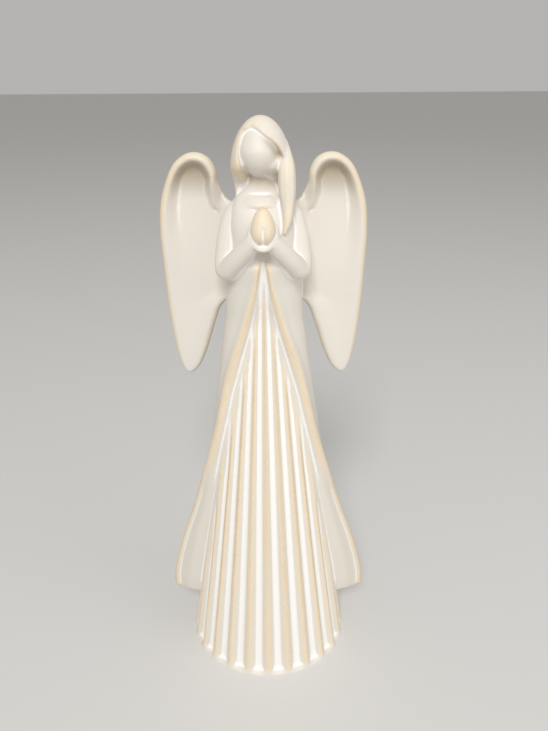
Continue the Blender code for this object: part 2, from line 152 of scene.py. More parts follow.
WINDOW_RIGHT = ((0.890, 0.0258), (0.905, 0.0240), (0.925, 0.0262), (0.9400, 0.0285), (0.9480, 0.0275),
                (0.9546, 0.0240), (0.9606, 0.0200), (0.9682, 0.0126), (0.9746, 0.0029), (0.9828, -0.0069),
                (0.9874, -0.0122), (0.993, -0.0131))

# The photograph's camera: its place in shares of the height, its angles in degrees, and its lens.
CAMERA_PLACE = (0.0145, -0.81, 1.034)
CAMERA_PITCH = 27.0
CAMERA_ROLL = 0.35
FOCAL_PIXELS = 549.0
PICTURE_HEIGHT = 731.0
SENSOR = 36.0

# The stage: its floor and soft lights, with sizes and places in metres, and the tone of the room.
FLOOR_SIZE = 60.0
KEY_PLACE = (-0.15, -1.60, 1.90)
KEY_SIZE = 0.75
FILL_PLACE = (0.9, -0.5, 0.55)
FILL_SIZE = 0.7
ROOM_TONE = (1.0, 0.985, 0.96, 1.0)

# The glaze: rounds over which the relief is measured, how much its near and wide parts count where the
# glaze runs thin (RUN) and where it pools (POOL), and its flecks, gloss and fine bumps.
NEAR_ROUNDS = 12
WIDE_ROUNDS = 48
RUN_NEAR = 9.0
RUN_WIDE = 1.6
POOL_NEAR = 13.0
FLECK = (0.50, 0.37, 0.20)
SPECULAR = 0.35
BUMP_DISTANCE = 0.0004

# Edges that turn by more than this, in degrees, stay crisp.
FLAT_ANGLE = 60.0

# Outline of the wing on +X, as (x, z). The line along its middle is stations (z, x), read while the
# outline climbs from WING_FOOT by WING_HEIGHT.
WING_OUTLINE = ((0.096, 0.9505), (0.0785, 0.9440), (0.0680, 0.9280), (0.0655, 0.9080), (0.0540, 0.8860),
                (0.035, 0.870), (0.025, 0.820), (0.030, 0.760), (0.0660, 0.7240), (0.0800, 0.6920),
                (0.0980, 0.6380), (0.1130, 0.6080), (0.1300, 0.5960), (0.1420, 0.6130), (0.1500, 0.6500),
                (0.1555, 0.7100), (0.1580, 0.7900), (0.1580, 0.8400), (0.1520, 0.8850), (0.1340, 0.9280),
                (0.1150, 0.9460))
WING_FOOT = 0.600
WING_HEIGHT = 0.345
WING_SPINE = ((0.630, 0.129), (0.690, 0.120), (0.780, 0.110), (0.850, 0.108), (0.905, 0.112))


class FigureSizes(bpy.types.PropertyGroup):
    """Sizes of the figurine that a user would change."""

    height: bpy.props.FloatProperty(
        name="Height", description="Height of the figurine from its foot to the top of its hair",
        default=CAD_HEIGHT, min=0.1, max=1.0, unit="LENGTH")
    grain: bpy.props.FloatProperty(
        name="Grain", description="Size of the cells in which the forms are run together",
        default=0.00046, min=0.0003, max=0.003, unit="LENGTH")
    softening: bpy.props.IntProperty(
        name="Softening", description="Rounds of smoothing that stand for the thickness of the glaze",
        default=14, min=0, max=60)
    triangles: bpy.props.IntProperty(
        name="Triangles", description="Triangles of the finished figurine",
        default=190000, min=20000, max=199000)


def sizes():
    """The figure's sizes as they are set in the panel."""
    return bpy.context.scene.angel_sizes


def ease(value):
    """A smooth step from 0 to 1."""
    value = np.clip(value, 0.0, 1.0)
    return value * value * (3.0 - 2.0 * value)


def between(value, start, end):
    """How far value has come from start to end, eased."""
    return ease((value - start) / (end - start))


def read(stations, at):
    """A smooth reading of a list of (place, value) stations."""
    places, values = np.array(stations).T
    last = len(places) - 1
    at = np.clip(at, places[0], places[-1])
    index = np.clip(np.searchsorted(places, at, side="right") - 1, 0, last - 1)
    before = np.maximum(index - 1, 0)
    after = np.minimum(index + 2, last)
    x0, x1, y0, y1 = places[index], places[index + 1], values[index], values[index + 1]
    span = x1 - x0
    slope0 = (y1 - values[before]) / (x1 - places[before]) * span
    slope1 = (values[after] - y0) / (places[after] - x0) * span
    t = (at - x0) / span
    t2, t3 = t * t, t * t * t
    return ((2 * t3 - 3 * t2 + 1) * y0 + (t3 - 2 * t2 + t) * slope0
            + (3 * t2 - 2 * t3) * y1 + (t3 - t2) * slope1)


def spline(points, t, closed=False):
    """Points on the smooth curve through a list of points, with t from 0 to 1."""
    points = np.array(points)
    count = len(points)
    spans = count if closed else count - 1
    place = np.clip(t, 0.0, 1.0) * spans
    index = np.minimum(place.astype(int), spans - 1)
    u = (place - index)[:, None]

    def point(step):
        if closed:
            return points[(index + step) % count]
        return points[np.clip(index + step, 0, count - 1)]

    a, b, c, d = (point(step) for step in (-1, 0, 1, 2))
    bend = (2 * a - 5 * b + 4 * c - d) * u * u
    turn = (3 * b - a - 3 * c + d) * u * u * u
    return 0.5 * (2 * b + (c - a) * u + bend + turn)


def columns(*values):
    """Points from their x, y and z."""
    return np.stack(np.broadcast_arrays(*values), axis=1)


def unit(vectors):
    """The vectors at length 1."""
    return vectors / np.maximum(np.linalg.norm(vectors, axis=1), 1e-12)[:, None]


def points_of(body):
    """The places of a mesh's vertices."""
    points = np.empty(len(body.data.vertices) * 3)
    body.data.vertices.foreach_get("co", points)
    return points.reshape(-1, 3)


def select_only(*bodies):
    """Selects these objects and nothing else, the first one active."""
    bpy.ops.object.select_all(action="DESELECT")
    for body in bodies:
        body.select_set(True)
    bpy.context.view_layer.objects.active = bodies[0]


def formed(name, segments, rings, tint, place, painted_shade=0.0):
    """A closed form: a grid that is rolled round and drawn out to the points that place(turn, rise) gives.

    turn runs from 0 to 1 round the form, from the front (-Y) by way of +X, and rise from 0 to 1 up it.
    place answers in shares of the height. tint is how much of the warm glaze the form takes, 0 to 1, and
    dusk how much shade is painted on it. Both may be given for each turn and rise.
    """
    bpy.ops.object.select_all(action="DESELECT")
    bpy.ops.mesh.primitive_grid_add(x_subdivisions=segments, y_subdivisions=rings, size=1.0)
    form = bpy.context.object
    form.name = name
    turn, rise = points_of(form).T[:2] + 0.5
    form.data.vertices.foreach_set("co", (place(turn, rise) * sizes().height).ravel())
    form.data.update()
    # The dusk group holds painted shade, a darkening that stands for the shadow under fringe, chin and
    # rims.
    for group, share in (("warm", tint), ("painted_shade", painted_shade)):
        weights = form.vertex_groups.new(name=group)
        tones = np.round(np.broadcast_to(share(turn, rise) if callable(share) else share, turn.shape), 1)
        for tone in np.unique(tones):
            weights.add(np.flatnonzero(tones == tone).tolist(), tone, "REPLACE")
    bpy.ops.object.mode_set(mode="EDIT")
    bpy.ops.mesh.select_all(action="SELECT")
    bpy.ops.mesh.remove_doubles(threshold=MERGE)
    bpy.ops.mesh.normals_make_consistent(inside=False)
    bpy.ops.object.mode_set(mode="OBJECT")
    for collection in form.users_collection:
        collection.objects.unlink(form)
    bpy.data.collections[FORMS].objects.link(form)
    return form


def tube(name, path, girths, tint, segments=48, rings=96, side=(1.0, 0.0, 0.0), lean=0.0, strands=0):
    """A rounded limb along a smooth path.

    girths are its (half-width along side, half-width across it) at each point of the path.
    lean turns its section about the path, and strands gives it that many soft ridges, as in combed hair.
    """
    ends = 0.10
    turned = math.radians(lean)

    def place(turn, rise):
        t = (rise - ends) / (1.0 - 2.0 * ends)
        along = np.clip(t, 0.0, 1.0)
        way = unit(spline(path, along + 0.02) - spline(path, along - 0.02))
        size = spline(girths, along)
        beyond = np.maximum(np.maximum(-t, t - 1.0), 0.0) * (1.0 - 2.0 * ends) / ends
        shrink = np.sqrt(np.maximum(1.0 - beyond * beyond, 0.0))
        reach = size.min(axis=1) * beyond * np.sign(t - 0.5)
        centre = spline(path, along) + way * reach[:, None]
        across = unit(np.cross(way, side))
        beside = unit(np.cross(across, way))
        across, beside = (across * math.cos(turned) - beside * math.sin(turned),
                          beside * math.cos(turned) + across * math.sin(turned))
        angle = turn * math.tau
        if strands:
            shrink = shrink * (1.0 - STRAND_DEPTH * (1.0 - abs(np.cos(angle * strands / 2.0))))
        wide = size[:, 0] * shrink * np.sin(angle)
        deep = size[:, 1] * shrink * np.cos(angle)
        return centre + beside * wide[:, None] - across * deep[:, None]

    return formed(name, segments, rings, tint, place)


def skirt_radii(z):
    """Half-width and half-depth of the plain skirt, without its ribs."""
    half_width = SKIRT_HALF_WIDTH - SKIRT_TAPER * z
    half_depth = half_width * SKIRT_ROUNDNESS
    blend = between(z, WAIST - 0.04, WAIST + 0.03)
    half_width = half_width + (read(TORSO_HALF_WIDTH, z) - half_width) * blend
    half_depth = half_depth + (read(TORSO_HALF_DEPTH, z) - half_depth) * blend
    return half_width, half_depth


def round_the_body(z, angle, lift):
    """Points that stand lift proud of the skirt at a height, at an angle from the front."""
    half_width, half_depth = skirt_radii(z)
    squarer = 1.0 + CHEST_SQUARENESS * np.sin(2.0 * angle) ** 2 * between(z, 0.77, 0.82)
    x = squarer * (half_width + lift) * np.sin(angle)
    y = -squarer * (half_depth + lift) * np.cos(angle)
    return x, y, z


def rib(angle):
    """The section of the pleats: 1 on a crest and 0 in a groove, with a crest at the front."""
    return (0.5 + 0.5 * np.cos(angle * RIBS)) ** RIB_SHARPNESS


def levels(rise, low, high, cap):
    """The height of each ring between low and high, and how far the end rings close in."""
    z = np.clip(low + (high - low) * (rise - cap) / (1.0 - 2.0 * cap), low, high)
    return z, np.minimum(np.minimum(rise / cap, (1.0 - rise) / cap), 1.0)


def front_fill(z):
    """How far the gown stands out over the waist."""
    return FRONT_FILL * between(z, 0.66, 0.78) * (1.0 - between(z, 0.80, 0.84))


def body_place(turn, rise):
    """The pleated skirt, the trunk and the neck."""
    z, closing = levels(rise, -BELOW_FLOOR, NECK_TOP, BODY_CAP)
    angle = turn * math.tau
    away = np.minimum(angle, math.tau - angle)
    under_hem = between(z, MANTLE_HEM + 0.01, MANTLE_HEM + 0.03)
    depth = RIB_DEPTH * between(z, 0.0, FOOT_RIM) * (1.0 - 0.45 * between(z, 0.10, 0.75))
    depth = depth * (1.0 - between(z, WAIST + 0.03, WAIST + 0.08))
    crease = np.radians(read(CREASE_ANGLE, z))
    depth = depth * (1.0 - under_hem * (1.0 - between(crease - away, -0.01, RIB_FADE)))
    edge = np.radians(read(EDGE_ANGLE, z))
    covered = between(away, edge - 0.1, edge + 0.15) * under_hem
    covered = covered * (1.0 - between(z, WAIST - 0.06, WAIST))
    x, y, z = round_the_body(z, angle, front_fill(z) - depth * (1.0 - rib(angle)) - UNDER_MANTLE * covered)
    lean = NECK_SHIFT * between(z, 0.84, 0.90)
    return columns(x * closing + lean, y * closing, z)


def body_tint(turn, rise):
    """Warm on the pleats, and pale at the foot and above the waist."""
    z, _ = levels(rise, -BELOW_FLOOR, NECK_TOP, BODY_CAP)
    return 0.1 + 0.8 * between(z, 0.002, 0.020) * (1.0 - between(z, WAIST + 0.02, WAIST + 0.08))


def body_painted_shade(turn, rise):
    """Painted shade on the neck, where the chin's shadow falls."""
    z, _ = levels(rise, -BELOW_FLOOR, NECK_TOP, BODY_CAP)
    return between(z, 0.903, 0.920)


def edge_way(z, angle):
    """How far an angle has come from the lining's crease (0) to the crest of the mantle's edge (1)."""
    edge = np.radians(read(EDGE_ANGLE, z))
    crease = np.radians(read(CREASE_ANGLE, z))
    return (angle - crease) / (edge - crease)


def edge_height(z):
    """How far the mantle's edge stands proud of the skirt, rounded off at the hem's corner."""
    low = np.minimum((z - MANTLE_HEM) / HEM_CORNER, 1.0)
    rounding = 0.74 + 0.26 * np.sqrt(np.maximum(1.0 - (1.0 - low) ** 2, 0.0))
    return MANTLE_THICKNESS + (read(EDGE_LIFT, z) - MANTLE_THICKNESS) * rounding


def mantle_lift(z, angle):
    """How far the mantle stands proud of the skirt: its lining, its rolled edge and its outer face."""
    edge_lift = edge_height(z)
    way = np.clip(edge_way(z, angle), 0.0, 1.0)
    wide = -0.004 + (edge_lift + 0.004) * way ** 1.15
    level = front_fill(z) - 0.001 + 0.003 * np.sin(np.pi * np.minimum(way / EDGE_FOOT, 1.0))
    roll = np.clip((way - EDGE_FOOT) / (1.0 - EDGE_FOOT), 0.0, 1.0)
    narrow = level + (edge_lift - level) * np.sqrt(1.0 - (1.0 - roll) ** 2)
    lining = wide + (narrow - wide) * between(z, 0.36, 0.50)
    edge = np.radians(read(EDGE_ANGLE, z))
    fall = math.radians(16.0) + math.radians(20.0) * between(z, 0.45, 0.15)
    folds = FOLD_DEPTH * np.cos(angle * MANTLE_FOLDS)
    folds = folds * between(angle, math.radians(120.0), math.radians(150.0)) * between(z, 0.75, 0.45)
    outside = edge_lift + (MANTLE_THICKNESS - edge_lift) * between(angle, edge, edge + fall) + folds
    inside = -0.004 - 0.030 * between(edge_way(z, angle), 0.0, -0.6)
    lift = np.where(way <= 0.0, inside, np.where(way < 1.0, lining, outside))
    return lift + (-0.006 - lift) * between(z, MANTLE_TOP - 0.035, MANTLE_TOP - 0.008)


def mantle_angle(turn, z):
    """The angle of a turn round the mantle, spread so that the form's lines follow crease and edge."""
    share = 2.0 * np.minimum(turn, 1.0 - turn)
    edge = np.radians(read(EDGE_ANGLE, z))
    crease = np.radians(read(CREASE_ANGLE, z))
    lining = crease + (edge - crease) * (share - INSIDE_SHARE) / (LINING_SHARE - INSIDE_SHARE)
    outside = edge + (math.pi - edge) * (share - LINING_SHARE) / (1.0 - LINING_SHARE)
    inside = crease * share / INSIDE_SHARE
    return np.where(share < INSIDE_SHARE, inside, np.where(share < LINING_SHARE, lining, outside))


def mantle_place(turn, rise):
    """The mantle that opens over the skirt in front, with its lining turned out to the hem's corners."""
    z, closing = levels(rise, MANTLE_HEM, MANTLE_TOP, MANTLE_CAP)
    away = mantle_angle(turn, z)
    x, y, z = round_the_body(z, np.where(turn < 0.5, away, -away), mantle_lift(z, away))
    return columns(x * closing, y * closing, z)


def mantle_tint(turn, rise):
    """Warm on the rolled edge."""
    z, _ = levels(rise, MANTLE_HEM, MANTLE_TOP, MANTLE_CAP)
    angle = mantle_angle(turn, z)
    edge = np.radians(read(EDGE_ANGLE, z))
    start = EDGE_FOOT - 0.02 + 0.46 * between(z, 0.45, 0.18)
    inner = between(edge_way(z, angle), start, start + 0.12)
    return 0.1 + 0.8 * inner * (1.0 - between(angle, edge - 0.06, edge + 0.26)) * between(z, 0.83, 0.79)


def mantle_painted_shade(turn, rise):
    """A little painted shade on the lining near the hem, darkening the crease along its edge so that it
    stays quiet.
    """
    z, _ = levels(rise, MANTLE_HEM, MANTLE_TOP, MANTLE_CAP)
    way = edge_way(z, mantle_angle(turn, z))
    return 0.25 * between(way, 0.45, 0.70) * between(way, 1.30, 1.05) * between(z, 0.45, 0.36)


def make_hem_edge(side):
    """The thick rounded edge of the mantle where it flares out over the foot."""
    heights = np.linspace(MANTLE_HEM + 0.012, 0.48, 24)
    angle = np.radians(read(EDGE_ANGLE, heights))
    x, y, z = round_the_body(heights, angle, edge_height(heights) - HEM_ROLL * 0.9)
    path = [tuple(point) for point in columns(side * x, y - 0.001, z)]
    girths = [(HEM_ROLL * full, HEM_ROLL * full) for full in between(heights, 0.48, 0.36) * 0.7 + 0.3]
    return tube("hem_edge", path, girths, 0.9, 32, 160)


def make_arm(side):
    """An upper arm and forearm in one wide sleeve, bent up to the hands."""
    path = [(side * x, y, z) for x, y, z in (
        (0.034, 0.002, 0.884), (0.0425, -0.0060, 0.868), (0.0482, -0.0140, 0.842), (0.0525, -0.0230, 0.813),
        (0.0525, -0.034, 0.7965), (0.0425, -0.047, 0.8090), (0.0280, -0.0570, 0.8260),
        (0.0125, -0.0650, 0.8430))]
    girths = [(0.009, 0.010), (0.0125, 0.0150), (0.0138, 0.0180), (0.0147, 0.0180), (0.0155, 0.0172),
              (0.0145, 0.0150), (0.0140, 0.0140), (0.0135, 0.0135)]
    return tube("arm", path, girths, 0.1, side=(0.0, -0.6, 0.8))


def hands_place(turn, rise):
    """Two hands pressed together, pointing up, parted by a groove between their heels."""
    z = HANDS_FOOT + HANDS_HEIGHT * rise
    width = read(HANDS_HALF_WIDTH, rise)
    angle = turn * math.tau
    x, y = width * np.sin(angle), -1.08 * width * np.cos(angle)
    groove = 0.0050 * np.exp(-(x / 0.0024) ** 2) * between(rise, 0.72, 0.30)
    y = np.where(y < 0.0, y + np.minimum(groove, -y), y)
    return columns(x + HANDS_SHIFT, y - HANDS_OUT - 0.006 * (0.5 - rise), z)


def make_cuffs():
    """The edge of both cuffs, one line round the heels of the hands."""
    half = [(-0.0130, -0.0480, 0.8700), (-0.0176, -0.0570, 0.8640), (-0.0190, -0.0650, 0.8560),
            (-0.0168, -0.0718, 0.8475), (-0.0110, -0.0770, 0.8405), (-0.0040, -0.0795, 0.8365)]
    path = half + [(-x, y, z) for x, y, z in reversed(half)]
    path = [(x + HANDS_SHIFT, y, z) for x, y, z in path]
    girths = [(0.0015, 0.0015), (0.0026, 0.0026)] + [(0.0036, 0.0034)] * (len(path) - 4)
    girths = girths + [(0.0026, 0.0026), (0.0015, 0.0015)]
    return tube("cuffs", path, girths, 0.1, 24, 120, side=(0.0, 1.0, 0.0))


def make_yoke():
    """The yoke of the gown, a flat band that lies on the shoulders round the foot of the neck."""
    path = [(NECK_SHIFT + 0.0265 * math.sin(t), -0.001 - 0.0270 * math.cos(t),
             0.8930 - 0.0030 * math.cos(t)) for t in (math.tau * k / 24.0 for k in range(25))]
    girths = [(0.0108, 0.0036)] * len(path)
    return tube("yoke", path, girths, 0.3, 32, 120, side=(0.0, 0.0, 1.0), lean=-48.0)


def window_depth(x, z):
    """How far a place lies inside the hood's opening to the face and neck; below 0 in the hair."""
    left = (x - read(WINDOW_LEFT, z)) * 0.9
    right = (read(WINDOW_RIGHT, z) - x) * np.where(z > 0.952, 0.62, 0.9)
    return np.minimum(np.minimum(left, right), (0.9905 - z) * 0.5)


def hood_place(turn, rise):
    """The hood of long smooth hair, a dome over straight sides, open in front to the face."""
    climb = -np.cos(math.pi * rise)
    upper = climb > 0.0
    z = HOOD_MIDDLE + climb * np.where(upper, HOOD_TOP - HOOD_MIDDLE, HOOD_MIDDLE - HOOD_FOOT)
    size = np.sqrt(np.maximum(1.0 - np.where(upper, climb * climb, climb ** 6), 0.0))
    angle = turn * math.tau
    x = HOOD_SHIFT + 0.0060 * between(z, 0.94, 0.90) + HOOD_HALF_WIDTH * size * np.sin(angle)
    y = -HOOD_HALF_DEPTH * size * np.cos(angle)
    over_lock = 0.75 * between(z, 0.935, 0.885)
    over_shoulder = between(z, 0.938, 0.904)
    front = y * (1.0 - over_lock + (over_lock - over_shoulder) * between(x, 0.005, -0.010))
    floor = WINDOW_FLOOR * between(z, 0.998, 0.970) + 0.012 * between(z, 0.94, 0.92)
    floor = floor + 0.005 * np.exp(-((x - 0.023) / 0.007) ** 2 - ((z - 0.951) / 0.010) ** 2)
    cut = between(window_depth(x, z), -0.0036, 0.0030) * np.minimum(floor, np.maximum(-front - 0.004, 0.0))
    back = y * (1.0 + 0.10 * between(z, 0.96, 0.90))
    return columns(x, np.where(y < 0.0, front + cut, back), z)


def opening_painted_shade(x, z):
    """Painted shade along the inside of the hood's opening, most of all the fringe's shadow."""
    inside = window_depth(x, z)
    band = between(inside, -0.0030, 0.0) * (1.0 - between(inside, 0.0035, 0.0090))
    band = band * between(z, 0.898, 0.912)
    return band * (between(x, -0.012, 0.012) + 0.4 * between(x, -0.015, -0.022))


def hood_tint(turn, rise):
    """Warm hair, most of all at the side away from the fringe, and plain along the fringe's edge."""
    x, _, z = hood_place(turn, rise).T
    edge = between(abs(window_depth(x, z)), 0.0050, 0.0020) * between(x, -0.012, 0.0)
    return 0.4 + 0.2 * between(x, -0.010, -0.030) - 0.3 * edge


def hood_painted_shade(turn, rise):
    """Painted shade inside the opening, and a little painted shade at the side away from the fringe."""
    x, y, z = hood_place(turn, rise).T
    return np.where(y < 0.0, opening_painted_shade(x, z), 0.0) * 0.9 + 0.1 * between(x, -0.015, -0.030)


def face_place(turn, rise):
    """The smooth oval face, without features, set back in the hair."""
    angle, climb = turn * math.tau, (rise - 0.5) * math.pi
    around = np.cos(climb)
    middle_x, middle_y, middle_z = FACE_MIDDLE
    z = middle_z + np.where(climb > 0.0, FACE_ABOVE, FACE_BELOW) * np.sin(climb)
    x = middle_x + FACE_HALF_WIDTH * around * np.sin(angle)
    y = middle_y + FACE_LEAN * np.maximum(z - middle_z, 0.0) - FACE_HALF_DEPTH * around * np.cos(angle)
    return columns(x, y, z)


def face_painted_shade(turn, rise):
    """Painted shade round the jaw, where the face meets the hair, and under the fringe, where its shadow
    falls.
    """
    x, _, z = face_place(turn, rise).T
    jaw = 0.5 * between(abs(np.sin(turn * math.tau)), 0.84, 0.98) * between(rise, 0.70, 0.45)
    return np.maximum(jaw, 0.8 * opening_painted_shade(x, z) * between(x, -0.012, 0.012))


def make_hair():
    """The lock over one shoulder, and the fall of hair down the back."""
    lock = [(0.0300, -0.0040, 0.9640), (0.0335, -0.0115, 0.9490), (0.0337, -0.0190, 0.9360),
            (0.0338, -0.0245, 0.9220), (0.0343, -0.0270, 0.9050), (0.0350, -0.0310, 0.8850),
            (0.0343, -0.0385, 0.8670), (0.0305, -0.0450, 0.8510)]
    lock_girths = [(0.0060, 0.0060), (0.0080, 0.0085), (0.0116, 0.0110), (0.0124, 0.0125), (0.0124, 0.0130),
                   (0.0098, 0.0121), (0.0070, 0.0090), (0.0030, 0.0040)]
    back = [(0.000, 0.012, 0.960), (0.001, 0.024, 0.925), (0.002, 0.036, 0.88), (0.001, 0.047, 0.82),
            (0.000, 0.049, 0.755)]
    back_girths = [(0.034, 0.024), (0.040, 0.024), (0.039, 0.021), (0.030, 0.016), (0.010, 0.008)]
    tube("lock", lock, lock_girths, 0.45, 120, 160, strands=8)
    tube("back_hair", back, back_girths, 0.3, 264, 120, strands=22)


def across_wing(turn, rise):
    """The place in the wing's plane of each point of the form, and its distance from the outline."""
    x, z = spline(WING_OUTLINE, turn, closed=True).T
    spine_z = np.array(WING_SPINE)[:, 0]
    level = spine_z[0] + (z - WING_FOOT) * (spine_z[-1] - spine_z[0]) / WING_HEIGHT
    level = np.clip(level, spine_z[0], spine_z[-1])
    inner_x = read(WING_SPINE, level)
    cut = 1.0 - np.sin(math.pi * rise)
    return x + (inner_x - x) * cut, z + (level - z) * cut, np.hypot(inner_x - x, level - z) * cut


def wing_place(turn, rise):
    """The wing on +X: a soft rim round a hollow face, full towards the tip, and a full back."""
    px, pz, depth_in = across_wing(turn, rise)
    middle = (WING_FRONT + WING_BACK) / 2.0 + 0.10 * np.maximum(px - 0.06, 0.0)
    half = (WING_BACK - WING_FRONT) / 2.0
    rim = 0.008 + (WING_RIM - 0.008) * between(pz, 0.55, 0.70)
    edge = np.sqrt(np.maximum(1.0 - (1.0 - np.minimum(depth_in / rim, 1.0)) ** 2, 0.0))
    dish = DISH_DEPTH * (0.35 * between(pz, 0.62, 0.74) + 0.65 * between(pz, 0.76, 0.90))
    hollow = between(depth_in, rim * 0.6, rim * (2.4 + 1.2 * between(pz, 0.92, 0.80)))
    shoulder = between(px, 0.084, 0.060) * between(pz, 0.925, 0.880) * between(pz, 0.730, 0.800)
    front = middle - half * edge + dish * np.maximum(hollow, shoulder)
    back = middle + half * edge - 0.004 * between(depth_in, rim, rim * 4.0)
    return columns(px, np.where(rise < 0.5, front, back), pz)


def wing_tint(turn, rise):
    """Warm along the outline, most of all at the outer side."""
    px, pz, depth_in = across_wing(turn, rise)
    outer = between(px, 0.10, 0.14)
    return 0.1 + (0.3 + 0.5 * outer) * (1.0 - between(depth_in, 0.003, 0.010)) * between(pz, 0.60, 0.66)


def wing_painted_shade(turn, rise):
    """Painted shade in the hollow under the upper rim, where the rim's shadow falls."""
    px, pz, depth_in = across_wing(turn, rise)
    return between(pz, 0.880, 0.925) * between(depth_in, 0.006, 0.016) * (rise < 0.5)


def mirrored_wing_place(turn, rise):
    """The wing on -X."""
    return wing_place(turn, rise) * (-1.0, 1.0, 1.0)


class ANGEL_OT_gown(bpy.types.Operator):
    """Model the pleated gown with the trunk and neck, and the open mantle over it"""

    bl_idname = "angel.gown"
    bl_label = "Gown and mantle"

    def execute(self, context):
        formed("body", RIBS * 16, 300, body_tint, body_place, body_painted_shade)
        formed("mantle", 640, 300, mantle_tint, mantle_place, mantle_painted_shade)
        make_hem_edge(-1)
        make_hem_edge(1)
        make_yoke()
        return {"FINISHED"}


class ANGEL_OT_arms(bpy.types.Operator):
    """Model both sleeves, their cuffs and the praying hands"""

    bl_idname = "angel.arms"
    bl_label = "Arms and hands"

    def execute(self, context):
        make_arm(-1)
        make_arm(1)
        make_cuffs()
        formed("hands", 96, 72, 0.7, hands_place)
        return {"FINISHED"}


class ANGEL_OT_head(bpy.types.Operator):
    """Model the faceless head in its hood of hair, with the lock over one shoulder"""

    bl_idname = "angel.head"
    bl_label = "Head and hair"

    def execute(self, context):
        formed("hood", 560, 400, hood_tint, hood_place, hood_painted_shade)
        formed("face", 96, 72, 0.0, face_place, face_painted_shade)
        make_hair()
        return {"FINISHED"}


class ANGEL_OT_wings(bpy.types.Operator):
    """Model both wings"""

    bl_idname = "angel.wings"
    bl_label = "Wings"

    def execute(self, context):
        formed("right_wing", 320, 140, wing_tint, wing_place, wing_painted_shade)
        formed("left_wing", 320, 140, wing_tint, mirrored_wing_place, wing_painted_shade)
        return {"FINISHED"}


def apply(body, name, kind, **settings):
    """Adds one modifier with its settings and applies it."""
    modifier = body.modifiers.new(name, kind)
    for key, value in settings.items():
        setattr(modifier, key, value)
    select_only(body)
    bpy.ops.object.modifier_apply(modifier=name)


def spread(values, edges, counts, rounds):
    """The values of a mesh's vertices, each round drawn halfway to the mean of their neighbours."""
    first, second = edges.T
    for _ in range(rounds):
        total = np.stack([np.bincount(first, values[second, k], len(values))
                          + np.bincount(second, values[first, k], len(values))
                          for k in range(values.shape[1])], axis=1)
        values = 0.5 * values + 0.5 * total / counts[:, None]
    return values


def write_attribute(body, name, values):
    """Stores one number for each vertex, for the material to read."""
    attribute = body.data.attributes.new(name, "FLOAT", "POINT")
    attribute.data.foreach_set("value", values.astype(np.float32))


def group_weights(body, name):
    """The weights of one vertex group, one for each vertex."""
    group = body.vertex_groups[name].index
    return np.array([sum(g.weight for g in v.groups if g.group == group) for v in body.data.vertices])


def measure_relief(body):
    """Stores how far each place stands out of its surroundings, near and wide, its form's warm tint and its
    painted shade.
    """
    points = points_of(body)
    edges = np.empty(len(body.data.edges) * 2, dtype=int)
    body.data.edges.foreach_get("vertices", edges)
    edges = edges.reshape(-1, 2)
    counts = np.bincount(edges.ravel(), minlength=len(points)).astype(float)
    normals = np.empty(len(points) * 3)
    body.data.vertices.foreach_get("normal", normals)
    normals = normals.reshape(-1, 3)
    near = spread(points, edges, counts, NEAR_ROUNDS)
    wide = spread(near, edges, counts, WIDE_ROUNDS)
    write_attribute(body, "near_relief", ((points - near) * normals).sum(axis=1) * 1000.0)
    write_attribute(body, "wide_relief", ((points - wide) * normals).sum(axis=1) * 1000.0)
    # The second weight is painted shade, softened like the warmth.
    tints = np.stack([group_weights(body, "warm"), group_weights(body, "painted_shade")], axis=1)
    warmth, painted_shade = spread(tints, edges, counts, NEAR_ROUNDS).T
    write_attribute(body, "warmth", warmth)
    write_attribute(body, "painted_shade_amount", painted_shade)


class ANGEL_OT_cast(bpy.types.Operator):
    """Run all forms into one body, soften its seams, and cut its foot flat"""

    bl_idname = "angel.cast"
    bl_label = "Cast in one piece"

    def execute(self, context):
        forms = list(bpy.data.collections[FORMS].objects)
        select_only(*forms)
        bpy.ops.object.join()
        source = context.object
        select_only(source)
        bpy.ops.object.duplicate()
        figure = context.object
        figure.name = PIECE
        figure.data.name = PIECE
        scale = sizes().height / CAD_HEIGHT
        apply(figure, "run_together", "REMESH", mode="VOXEL", voxel_size=sizes().grain * scale)
        apply(figure, "soften", "SMOOTH", factor=0.5, iterations=sizes().softening)
        select_only(source, figure)
        bpy.ops.object.data_transfer(data_type="VGROUP_WEIGHTS", vert_mapping="NEAREST",
                                     layers_select_src="ALL", layers_select_dst="NAME")
        bpy.data.objects.remove(source)
        measure_relief(figure)
        figure.vertex_groups.clear()
        figure.data.calc_loop_triangles()
        ratio = sizes().triangles / len(figure.data.loop_triangles)
        apply(figure, "lighten", "DECIMATE", ratio=min(ratio, 1.0))
        select_only(figure)
        bpy.ops.object.mode_set(mode="EDIT")
        bpy.ops.mesh.select_all(action="SELECT")
        bpy.ops.mesh.bisect(plane_co=(0.0, 0.0, 0.0), plane_no=(0.0, 0.0, 1.0), use_fill=True,
                            clear_inner=True)
        bpy.ops.object.mode_set(mode="OBJECT")
        bpy.ops.object.shade_smooth_by_angle(angle=math.radians(FLAT_ANGLE))
        for collection in figure.users_collection:
            collection.objects.unlink(figure)
        context.scene.collection.objects.link(figure)
        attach(figure, "root")
        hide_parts(NODE)
        return {"FINISHED"}


